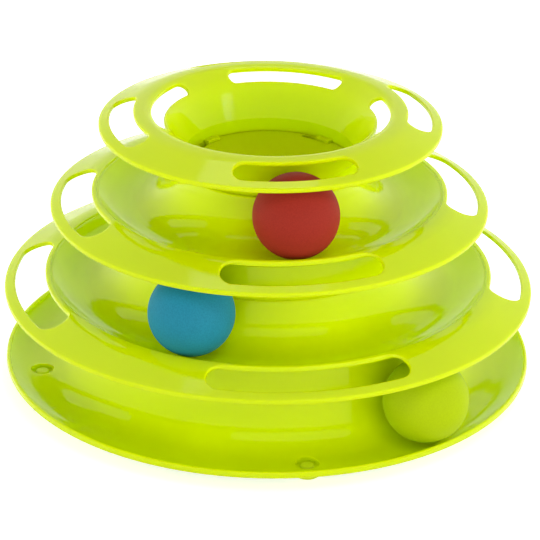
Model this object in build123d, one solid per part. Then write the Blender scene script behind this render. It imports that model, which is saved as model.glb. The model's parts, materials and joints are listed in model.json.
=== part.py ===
from build123d import *
import os
from math import atan2, cos, degrees, hypot, pi, radians, sin, sqrt, tan

# Cat ball track toy: a tray and three stacked tiers, with a ball trapped on each of three round tracks.
# Millimetres. The toy stands on z = 0 with its axis along Z, and a slot of each brim faces each of X and Y.

# Wall of the mouldings
wall = 2.0

# Balls
ball_diameter = 39.0
ball_wall = 1.6
ball_floor_gap = 0.3
upper_ball_angle = 270.8
middle_ball_angle = 237.0
lower_ball_angle = 301.4

# Tracks: radius of the upper ball's path, step out to each track below it, and room above the balls
upper_orbit = 64.0
track_step = 22.2
level_headroom = 1.5
top_headroom = 6.8

# Gutters: gap round the ball, heights of their outer edges, and the step along each edge
gutter_gap = 2.5
mouth_height = 6.4
tray_lip_height = 5.0
mouth_step_width = 1.2
mouth_step_drop = 0.7

# Hubs inside the gutters, and the collar of the top bowl that stands on the upper hub
hub_height = 19.0
collar_rise = 6.5
collar_inset = 1.1

# Brims: width from mouth to lip, fall to the lip, flat by the mouth and height of the lip
brim_width = 22.5
brim_fall = 6.3
brim_flat = 5.7
brim_crown_radius = 22.0
lip_height = 2.2
lip_round = 0.8
edge_round = 0.5

# Slots through the brims
slot_count = 4
slot_span = 47.0
slot_inner_land = 3.3
slot_outer_land = 5.0
slot_round = 0.6

# Top tier: ridge, the windowed slope inside it and the shoulder of the bowl
ridge_inset = 7.2
ridge_round = 6.0
top_slot_inner_land = 6.5
slope_fall = 5.1
shoulder_round = 16.0
window_land = 1.8
window_width = 5.8
window_bar = 1.5
window_span = 62.0
window_angle = 72.0

# Tray lip
tray_lip_width = 1.8
tray_lip_depth = 3.2
tray_lip_round = 0.8

# Twist locks: tabs that reach down through slots in the hub below and turn under its top
tab_count = 4
tab_angle = 37.5
tab_length = 8.0
tab_depth = 2.4
tab_bridge_height = 1.4
tab_foot_length = 5.0
tab_foot_height = 2.0
tab_gap = 0.4
twist_angle = 12.0

# Foot dimples in the tray and the pads pressed into them
foot_count = 4
foot_inset = 0.6
pit_depth = 1.8
pit_radius = 5.4
boss_wall = 1.4
pad_radius = 6.0
pad_thickness = 1.4
pad_round = 0.6
stem_radius = 2.2
stem_gap = 0.05
head_radius = 3.2
head_height = 1.2
head_round = 0.9

# Roundings inside the mouldings
hub_round = 1.0
mouth_round = 0.4
bowl_round = 0.8

full_turn = 360.0
seam_angle = 27.0
cut_margin = 5.0
fuse_depth = 0.5
rounded_share = 0.95

# Places worked out from the sizes above
ball_radius = ball_diameter / 2
gutter_radius = ball_radius + gutter_gap

middle_orbit = upper_orbit + track_step
lower_orbit = middle_orbit + track_step
foot_radius = lower_orbit - foot_inset
ridge_radius = upper_orbit - ridge_inset

level_rise = ball_diameter + level_headroom
tray_floor = pad_thickness + wall + pit_depth
lower_floor = tray_floor + level_rise
middle_floor = lower_floor + level_rise
top_ridge = middle_floor + ball_diameter + top_headroom


def gutter_reach(height):
    """Level distance from the middle of a gutter to its side at a height above its floor."""
    return sqrt(max(gutter_radius ** 2 - (gutter_radius - height) ** 2, 0.0))


def corner_out(height):
    """Level distance from the middle of a gutter to where its floor meets the line of its side."""
    reach = gutter_reach(height)
    return gutter_radius * tan(atan2(reach, gutter_radius - height) / 2)


upper_mouth = upper_orbit + gutter_reach(mouth_height)
middle_mouth = middle_orbit + gutter_reach(mouth_height)
tray_mouth = lower_orbit + gutter_reach(tray_lip_height)

hub_reach = gutter_reach(hub_height)
upper_hub = upper_orbit - hub_reach
middle_hub = middle_orbit - hub_reach
lower_hub = lower_orbit - hub_reach

collar_bore = upper_hub - wall - collar_inset
middle_bore = middle_hub - wall
lower_bore = lower_hub - wall


# Sections

def corner_reach(before, corner, after, radius):
    """Length of each run that a rounding of this radius uses up at a corner."""
    turn_in = atan2(corner[1] - before[1], corner[0] - before[0])
    turn_out = atan2(after[1] - corner[1], after[0] - corner[0])
    turn = abs((turn_out - turn_in + pi) % (2 * pi) - pi)
    return radius * tan(turn / 2)


def limited(points, radii):
    """Roundings of a closed outline, limited by the runs beside each corner."""
    count = len(points)
    reaches = [
        corner_reach(points[i - 1], points[i], points[(i + 1) % count], radii[i])
        for i in range(count)
    ]
    shares = [1.0] * count
    for i in range(count):
        j = (i + 1) % count
        run = hypot(points[j][0] - points[i][0], points[j][1] - points[i][1])
        used = reaches[i] + reaches[j]
        room = rounded_share * run
        if used > room:
            shares[i] = min(shares[i], room / used)
            shares[j] = min(shares[j], room / used)
    return [radius * share for radius, share in zip(radii, shares)]


def turned(points, radii):
    """Solid of revolution of a closed (radius, height) outline, rounded, with its seam clear of the slots."""
    outline = FilletPolyline(*points, radius=limited(points, radii), close=True)
    return Rot(0, 0, seam_angle) * revolve(Plane.XZ * make_face(outline), Axis.Z, full_turn)


def turned_wall(points, radii, end_round):
    """Moulded wall of even thickness: points give its upper side, from the outer edge inwards."""
    normals = []
    for (r0, z0), (r1, z1) in zip(points, points[1:]):
        run = hypot(r1 - r0, z1 - z0)
        normals.append(((z0 - z1) / run, (r1 - r0) / run))
    lower = []
    lower_radii = []
    for i, (r, z) in enumerate(points):
        a = normals[max(i - 1, 0)]
        b = normals[min(i, len(normals) - 1)]
        scale = wall / (1 + a[0] * b[0] + a[1] * b[1])
        lower.append((r + scale * (a[0] + b[0]), z + scale * (a[1] + b[1])))
    for i, radius in enumerate(radii, start=1):
        a, b = normals[i - 1], normals[i]
        bends_to_wall = a[0] * b[1] - a[1] * b[0] > 0
        lower_radii.append(max(radius - wall, 0.0) if bends_to_wall else radius + wall)
    all_points = points + lower[::-1]
    all_radii = [end_round] + radii + [0.0] + [0.0] + lower_radii[::-1] + [end_round]
    return turned(all_points, all_radii)


def tube(outer, inner, low, high):
    """Plain ring wall."""
    return turned([(outer, low), (outer, high), (inner, high), (inner, low)], [0.0] * 4)


def around(count, angle):
    """Turns for a feature that repeats evenly about the axis."""
    return [Rot(0, 0, angle + full_turn / count * k) for k in range(count)]


def arc_slot(inner, outer, span, low, high):
    """Upright cutter for a round-ended slot along an arc, centred on the X axis."""
    width = outer - inner
    middle = (outer + inner) / 2
    end_turn = degrees(width / 2 / middle)
    path = CenterArc((0, 0), middle, end_turn - span / 2, span - 2 * end_turn)
    return Pos(0, 0, low) * extrude(SlotArc(path, width), high - low)


def arc_block(inner, outer, start, end, low, high):
    """Block between two radii, two angles and two heights."""
    section = Pos((inner + outer) / 2, (low + high) / 2) * Rectangle(outer - inner, high - low)
    return Rot(0, 0, start) * revolve(Plane.XZ * section, Axis.Z, end - start)


# Features that the mouldings share

def brim_points(inner_edge, ridge):
    """Upper side of a brim, from the bottom of its lip to the top of its ridge."""
    lip = inner_edge + brim_width
    lip_top = ridge - brim_fall
    return [(lip, lip_top - lip_height), (lip, lip_top), (inner_edge + brim_flat, ridge)]


def brim_slots(inner_edge, inner_land, ridge):
    """Cutters for the slots of a brim."""
    outer = inner_edge + brim_width - slot_outer_land
    low = ridge - brim_fall - lip_height - cut_margin
    cutter = arc_slot(inner_edge + inner_land, outer, slot_span, low, ridge + cut_margin)
    return [turn * cutter for turn in around(slot_count, 0)]


def with_slots(body, cutters):
    """A body with slots cut through it and their edges rounded."""
    cut = body - cutters
    edges = new_edges(body, *cutters, combined=cut)
    return fillet([edge for edge in edges if edge.geom_type != GeomType.LINE], slot_round)


def gutter_points(orbit, floor, edge_height):
    """Upper side of a gutter and its hub, from the foot of the gutter's outer side to the axis."""
    foot_out = orbit + corner_out(edge_height)
    foot_in = orbit - corner_out(hub_height)
    top = floor + hub_height
    return [(foot_out, floor), (foot_in, floor), (orbit - hub_reach, top), (0.0, top)]


gutter_radii = [gutter_radius, gutter_radius, hub_round]


def lock_slots(bore, floor):
    """Cutters for the slots in a hub's top, with room for the tabs of the piece above to turn."""
    outer = bore - tab_gap
    inner = outer - tab_depth - 2 * tab_gap
    half = degrees((tab_length / 2 + tab_gap) / outer)
    top = floor + hub_height
    slot = arc_block(inner, outer, -half, twist_angle + half, top - wall - cut_margin, top + cut_margin)
    return [turn * slot for turn in around(tab_count, tab_angle)]


def lock_tabs(bore, floor):
    """Tabs inside a skirt or collar, each with a foot under the top of the hub below."""
    outer = bore - 2 * tab_gap
    inner = outer - tab_depth
    half = degrees(tab_length / 2 / outer)
    foot_turn = degrees(tab_foot_length / outer)
    seat = floor + hub_height
    bridge_top = seat + tab_bridge_height
    foot_top = seat - wall - tab_gap
    foot_low = foot_top - tab_foot_height
    tab = arc_block(inner, bore + fuse_depth, -half, half, seat, bridge_top)
    tab += arc_block(inner, outer, -half, half, foot_low, bridge_top)
    tab += arc_block(inner, outer, -half - foot_turn, half, foot_low, foot_top)
    return [turn * tab for turn in around(tab_count, tab_angle)]


# Mouldings

def track_tier(orbit, floor, mouth, bore_above, bore_below, floor_below):
    """A brim, the gutter and hub inside it, and a skirt that stands on the hub of the piece below."""
    ridge = floor + mouth_height
    step = mouth + mouth_step_width
    points = brim_points(mouth, ridge)
    points += [(step, ridge), (step, ridge - mouth_step_drop), (mouth, ridge - mouth_step_drop)]
    points += gutter_points(orbit, floor, mouth_height)
    radii = [lip_round, brim_crown_radius, mouth_round, mouth_round / 2, mouth_round] + gutter_radii
    body = with_slots(turned_wall(points, radii, edge_round), brim_slots(mouth, slot_inner_land, ridge))
    body += tube(bore_below + wall, bore_below, floor_below + hub_height, floor - wall + fuse_depth)
    body -= lock_slots(bore_above, floor)
    body += lock_tabs(bore_below, floor_below)
    return body


def top_moulding():
    """The smallest brim, with a windowed slope inside its ridge, a bowl and a collar on the hub below."""
    window_outer = ridge_radius - window_land
    window_inner = window_outer - window_width
    slope_inner = window_inner - window_bar
    slope_low = top_ridge - slope_fall
    seat = middle_floor + hub_height
    points = brim_points(ridge_radius, top_ridge)
    points += [(ridge_radius, top_ridge), (slope_inner, slope_low)]
    points += [(collar_bore, seat + collar_rise), (collar_bore, seat)]
    radii = [lip_round, brim_crown_radius, ridge_round, shoulder_round, bowl_round]
    window = arc_slot(window_inner, window_outer, window_span, slope_low - cut_margin, top_ridge + cut_margin)
    cutters = brim_slots(ridge_radius, top_slot_inner_land, top_ridge)
    cutters += [turn * window for turn in around(slot_count, window_angle)]
    body = with_slots(turned_wall(points, radii, edge_round), cutters)
    body += lock_tabs(collar_bore, middle_floor)
    return body


def tray():
    """The dish at the bottom, with a rounded lip, a gutter and hub, and a dimple for each foot."""
    lip_top = tray_floor + tray_lip_height
    lip_low = lip_top - tray_lip_depth
    lip_outer = tray_mouth + tray_lip_width
    points = [(tray_mouth + tray_lip_width / 2, lip_top - tray_lip_round)]
    points += gutter_points(lower_orbit, tray_floor, tray_lip_height)
    body = turned_wall(points, gutter_radii, 0.0)
    body += turned([(lip_outer, lip_low), (lip_outer, lip_top), (tray_mouth, lip_top), (tray_mouth, lip_low)],
                   [tray_lip_round] * 4)
    body -= lock_slots(lower_bore, tray_floor)
    boss_depth = tray_floor - fuse_depth - pad_thickness
    boss = Pos(foot_radius, 0, pad_thickness) * extrude(Circle(pit_radius + boss_wall), boss_depth)
    pit = Pos(foot_radius, 0, pad_thickness + wall) * extrude(Circle(pit_radius), pit_depth + cut_margin)
    hole = Pos(foot_radius, 0, 0) * extrude(Circle(stem_radius + stem_gap), tray_floor)
    for turn in around(foot_count, 0):
        body += turn * boss
        body -= turn * (pit + hole)
    return body


# Loose and pressed-in pieces

def foot_pad():
    """Soft pad with a stem and a rounded head that holds it in its dimple."""
    seat = pad_thickness + wall
    points = [(0.0, 0.0), (pad_radius, 0.0), (pad_radius, pad_thickness), (stem_radius, pad_thickness)]
    points += [(stem_radius, seat), (head_radius, seat), (head_radius, seat + head_height)]
    points += [(0.0, seat + head_height)]
    return turned(points, [0.0, pad_round, 0.0, 0.0, 0.0, 0.0, head_round, 0.0])


def ball(orbit, floor, angle):
    """Hollow ball at its place on its track."""
    shell = Sphere(ball_radius) - Sphere(ball_radius - ball_wall)
    height = floor + ball_floor_gap + ball_radius
    return Pos(orbit * cos(radians(angle)), orbit * sin(radians(angle)), height) * shell


# The finished pieces

pieces = {
    "base_tray": tray(),
    "lower_tier": track_tier(middle_orbit, lower_floor, middle_mouth, middle_bore, lower_bore, tray_floor),
    "middle_tier": track_tier(upper_orbit, middle_floor, upper_mouth, collar_bore, middle_bore, lower_floor),
    "top_tier": top_moulding(),
    "lower_ball": ball(lower_orbit, tray_floor, lower_ball_angle),
    "middle_ball": ball(middle_orbit, lower_floor, middle_ball_angle),
    "upper_ball": ball(upper_orbit, middle_floor, upper_ball_angle),
}
foot_sides = ("right", "back", "left", "front")
for side, turn in zip(foot_sides, around(foot_count, 0)):
    pieces["foot_pad_" + side] = turn * Pos(foot_radius, 0, 0) * foot_pad()

os.makedirs("parts", exist_ok=True)
for name, shape in pieces.items():
    export_step(shape, "parts/" + name + ".step")
    box = shape.bounding_box()
    print(name, len(shape.solids()), round(shape.volume), [round(v, 2) for v in (*box.min, *box.max)])
print("orbits", round(upper_orbit, 2), round(middle_orbit, 2), round(lower_orbit, 2))
print("mouths", round(upper_mouth, 2), round(middle_mouth, 2), round(tray_mouth, 2))
print("hubs", round(upper_hub, 2), round(middle_hub, 2), round(lower_hub, 2))
print("floors", tray_floor, lower_floor, middle_floor, "ridge", top_ridge)
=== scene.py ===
import json
from math import atan, radians
import bpy
from mathutils import Matrix, Vector

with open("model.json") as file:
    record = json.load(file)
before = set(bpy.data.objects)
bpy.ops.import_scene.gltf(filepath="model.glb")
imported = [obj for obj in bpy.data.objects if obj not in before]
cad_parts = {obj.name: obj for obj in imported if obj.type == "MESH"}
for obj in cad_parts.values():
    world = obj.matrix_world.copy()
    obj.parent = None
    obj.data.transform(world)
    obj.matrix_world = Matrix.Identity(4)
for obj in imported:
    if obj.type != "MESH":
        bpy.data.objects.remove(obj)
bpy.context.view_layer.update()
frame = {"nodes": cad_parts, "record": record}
scene = bpy.context.scene
scene.view_settings.view_transform = "Standard"

# Camera: its place and aim, the length of its lens in image widths, and the photograph's small tilt
CAMERA_AT = Vector((-0.1941, -1.1053, 0.5735))
CAMERA_AIM = Vector((0.0008, -0.0001, 0.0500))
LENS_WIDTHS = 2618 / 540
CAMERA_TILT = radians(0.93)

# Colours, as linear light
LIME = (0.68, 0.82, 0.0)
LIME_DEEP = (0.64, 0.78, 0.0)
RED = (0.36, 0.027, 0.014)
BLUE = (0.018, 0.25, 0.36)
BALL_LIME = (0.46, 0.61, 0.0)

# Light from all round, which is full at or below one height of its direction and dim at or above another
SKY_STRENGTH = 1.95
SKY_FULL = (0.25, 1.0)
SKY_DIM = (0.62, 0.05)

# Floor: half its width, its drop below the pads, its grey, and the glow that makes it look white
FLOOR_HALF = 3.0
FLOOR_DROP = 0.0002
FLOOR_GREY = 0.85
FLOOR_GLOW = 0.62

# Lamps: where most of them point, and the size of the pair at the sides
LAMP_AIM = (0.0, 0.0, 0.05)
SIDE_BOX = (0.9, 0.6)


def new_material(name):
    """Material with one surface shader, its node tree, and that shader."""
    material = bpy.data.materials.new(name)
    material.use_nodes = True
    tree = material.node_tree
    return material, tree, tree.nodes["Principled BSDF"]


def add_node(tree, kind, **values):
    """Node with its properties and inputs set by name."""
    node = tree.nodes.new(kind)
    for name, value in values.items():
        if name in node.inputs:
            node.inputs[name].default_value = value
        else:
            setattr(node, name, value)
    return node


def set_inputs(shader, **values):
    """Sets a shader's own sockets, with underscores in place of spaces."""
    for name, value in values.items():
        shader.inputs[name.replace("_", " ")].default_value = value


def grey(level):
    """Grey of one level."""
    return (level, level, level)


def darker(colour, share):
    """The same colour with less light."""
    return tuple(share * c for c in colour)


def colour_ramp(tree, value, low, high):
    """Colour that changes evenly from one place and colour to another."""
    ramp = add_node(tree, "ShaderNodeValToRGB")
    for stop, (place, colour) in zip(ramp.color_ramp.elements, (low, high)):
        stop.position = place
        stop.color = (*colour, 1.0)
    tree.links.new(value, ramp.inputs["Fac"])
    return ramp.outputs["Color"]


def object_noise(tree, scale, detail=2.0):
    """Noise in the object's own space, in features per metre."""
    place = add_node(tree, "ShaderNodeTexCoord")
    noise = add_node(tree, "ShaderNodeTexNoise", Scale=scale, Detail=detail)
    tree.links.new(place.outputs["Object"], noise.inputs["Vector"])
    return noise.outputs["Fac"]


def two_tone(tree, shader, noise, low, high):
    """Base colour blended from two colours by a noise."""
    tree.links.new(colour_ramp(tree, noise, low, high), shader.inputs["Base Color"])


def bumped(tree, shader, noise, strength, depth):
    """Fine relief from a noise."""
    bump = add_node(tree, "ShaderNodeBump", Strength=strength, Distance=depth)
    tree.links.new(noise, bump.inputs["Height"])
    tree.links.new(bump.outputs["Normal"], shader.inputs["Normal"])


def lime_plastic():
    """Glossy moulded plastic that lets some light through."""
    material, tree, shader = new_material("lime_plastic")
    cloud = object_noise(tree, scale=14.0)
    two_tone(tree, shader, cloud, (0.2, LIME_DEEP), (0.7, LIME))
    peel = object_noise(tree, scale=420.0)
    bumped(tree, shader, peel, strength=0.05, depth=0.0004)
    set_inputs(shader, Roughness=0.08, IOR=1.48, Specular_IOR_Level=0.2, Subsurface_Weight=0.9,
               Subsurface_Scale=0.003, Subsurface_Radius=(1.0, 1.0, 0.1))
    return material


def grained_ball(name, colour, shade):
    """Matte ball with a fine grain."""
    material, tree, shader = new_material(name)
    grain = object_noise(tree, scale=1500.0, detail=4.0)
    two_tone(tree, shader, grain, (0.3, shade), (0.62, colour))
    bumped(tree, shader, grain, strength=0.12, depth=0.0002)
    set_inputs(shader, Roughness=0.6, IOR=1.45, Specular_IOR_Level=0.15)
    return material


def pad_rubber():
    """Soft pad with a dull skin."""
    material, tree, shader = new_material("pad_rubber")
    grain = object_noise(tree, scale=900.0, detail=3.0)
    two_tone(tree, shader, grain, (0.3, LIME_DEEP), (0.7, LIME))
    bumped(tree, shader, grain, strength=0.2, depth=0.0003)
    set_inputs(shader, Roughness=0.6)
    return material


MATERIALS = {
    "lime_plastic": lime_plastic(),
    "lime_ball": grained_ball("lime_ball", BALL_LIME, darker(BALL_LIME, 0.93)),
    "blue_ball": grained_ball("blue_ball", BLUE, darker(BLUE, 0.82)),
    "red_ball": grained_ball("red_ball", RED, darker(RED, 0.85)),
    "pad_rubber": pad_rubber(),
}
for part in frame["record"]["subparts"]:
    node = frame["nodes"][part["node"]]
    for slot in node.material_slots:
        slot.material = MATERIALS[part["material_slot"]]


def background_rays(tree):
    """One for the rays that show the background: straight, mirrored or through something clear."""
    path = add_node(tree, "ShaderNodeLightPath")
    shown = path.outputs["Is Camera Ray"]
    for kind in ("Is Glossy Ray", "Is Transmission Ray"):
        either = add_node(tree, "ShaderNodeMath", operation="MAXIMUM")
        tree.links.new(shown, either.inputs[0])
        tree.links.new(path.outputs[kind], either.inputs[1])
        shown = either.outputs[0]
    return shown


def shown_or_not(tree, hidden, shown):
    """One shader for the rays that show the background, and another for the rest."""
    mix = add_node(tree, "ShaderNodeMixShader")
    tree.links.new(background_rays(tree), mix.inputs["Fac"])
    tree.links.new(hidden.outputs[0], mix.inputs[1])
    tree.links.new(shown.outputs[0], mix.inputs[2])
    return mix


def backdrop_world():
    """Light from low all round, and white behind the object and in its reflections."""
    world = bpy.data.worlds.new("studio")
    scene.world = world
    world.use_nodes = True
    tree = world.node_tree
    tree.nodes.clear()
    way = add_node(tree, "ShaderNodeTexCoord")
    axes = add_node(tree, "ShaderNodeSeparateXYZ")
    tree.links.new(way.outputs["Generated"], axes.inputs[0])
    full, dim = [(height, grey(level)) for height, level in (SKY_FULL, SKY_DIM)]
    light = add_node(tree, "ShaderNodeBackground", Strength=SKY_STRENGTH)
    tree.links.new(colour_ramp(tree, axes.outputs["Z"], full, dim), light.inputs["Color"])
    white = add_node(tree, "ShaderNodeBackground", Color=(*grey(1.0), 1.0), Strength=1.0)
    out = add_node(tree, "ShaderNodeOutputWorld")
    tree.links.new(shown_or_not(tree, light, white).outputs[0], out.inputs["Surface"])


def studio_floor():
    """Plain white floor that keeps the object's shadow."""
    mesh = bpy.data.meshes.new("floor")
    signs = ((-1, -1), (1, -1), (1, 1), (-1, 1))
    mesh.from_pydata([(FLOOR_HALF * x, FLOOR_HALF * y, 0) for x, y in signs], [], [(0, 1, 2, 3)])
    floor = bpy.data.objects.new("floor", mesh)
    floor.location.z = -FLOOR_DROP
    scene.collection.objects.link(floor)
    material = bpy.data.materials.new("floor")
    material.use_nodes = True
    tree = material.node_tree
    tree.nodes.clear()
    paint = add_node(tree, "ShaderNodeBsdfDiffuse", Color=(*grey(FLOOR_GREY), 1.0))
    dark = add_node(tree, "ShaderNodeEmission", Strength=0.0)
    glow = add_node(tree, "ShaderNodeEmission", Strength=FLOOR_GLOW)
    both = add_node(tree, "ShaderNodeAddShader")
    tree.links.new(paint.outputs[0], both.inputs[0])
    tree.links.new(shown_or_not(tree, dark, glow).outputs[0], both.inputs[1])
    out = add_node(tree, "ShaderNodeOutputMaterial")
    tree.links.new(both.outputs[0], out.inputs["Surface"])
    mesh.materials.append(material)


def pointed(at, aim, roll):
    """Place of a lamp or camera that looks at a point, turned about the way it looks."""
    way = Vector(aim) - Vector(at)
    turn = way.to_track_quat("-Z", "Y").to_matrix().to_4x4()
    return Matrix.Translation(at) @ turn @ Matrix.Rotation(roll, 4, "Z")


def softbox(name, at, size, power, aim=LAMP_AIM, mirrored=False, roll=0.0):
    """Soft lamp, which shows in reflections only where it is mirrored."""
    lamp = bpy.data.lights.new(name, "AREA")
    lamp.shape = "RECTANGLE"
    lamp.size, lamp.size_y = size
    lamp.energy = power
    box = bpy.data.objects.new(name, lamp)
    box.matrix_world = pointed(at, aim, roll)
    box.visible_glossy = mirrored
    scene.collection.objects.link(box)


def photo_camera():
    """Camera where the photograph was taken from."""
    lens = bpy.data.cameras.new("camera")
    lens.sensor_fit = "HORIZONTAL"
    lens.angle = 2 * atan(0.5 / LENS_WIDTHS)
    camera = bpy.data.objects.new("camera", lens)
    camera.matrix_world = pointed(CAMERA_AT, CAMERA_AIM, CAMERA_TILT)
    scene.collection.objects.link(camera)
    scene.camera = camera


backdrop_world()
studio_floor()
softbox("overhead", at=(0.05, 0.55, 1.2), size=(0.5, 0.3), power=1.1, mirrored=True)
softbox("left_box", at=(-1.2, 0.35, 0.3), size=SIDE_BOX, power=4.0)
softbox("right_box", at=(1.2, 0.25, 0.3), size=SIDE_BOX, power=3.0)
softbox("front_fill", at=(0.95, -1.3, 0.45), size=(1.2, 0.8), power=4.5)
softbox("back_fill", at=(0.1, 1.6, 0.4), size=(1.6, 0.8), power=5.0)
softbox("high_fill", at=(0.2, -0.75, 1.35), size=(0.6, 0.6), power=3.8, aim=(0.0, 0.0, 0.08))
softbox("front_card", at=(0.62, -0.52, 0.64), size=(0.22, 0.02), power=0.1, aim=(-0.01, 0.04, 0.12),
        mirrored=True, roll=radians(-17))
photo_camera()
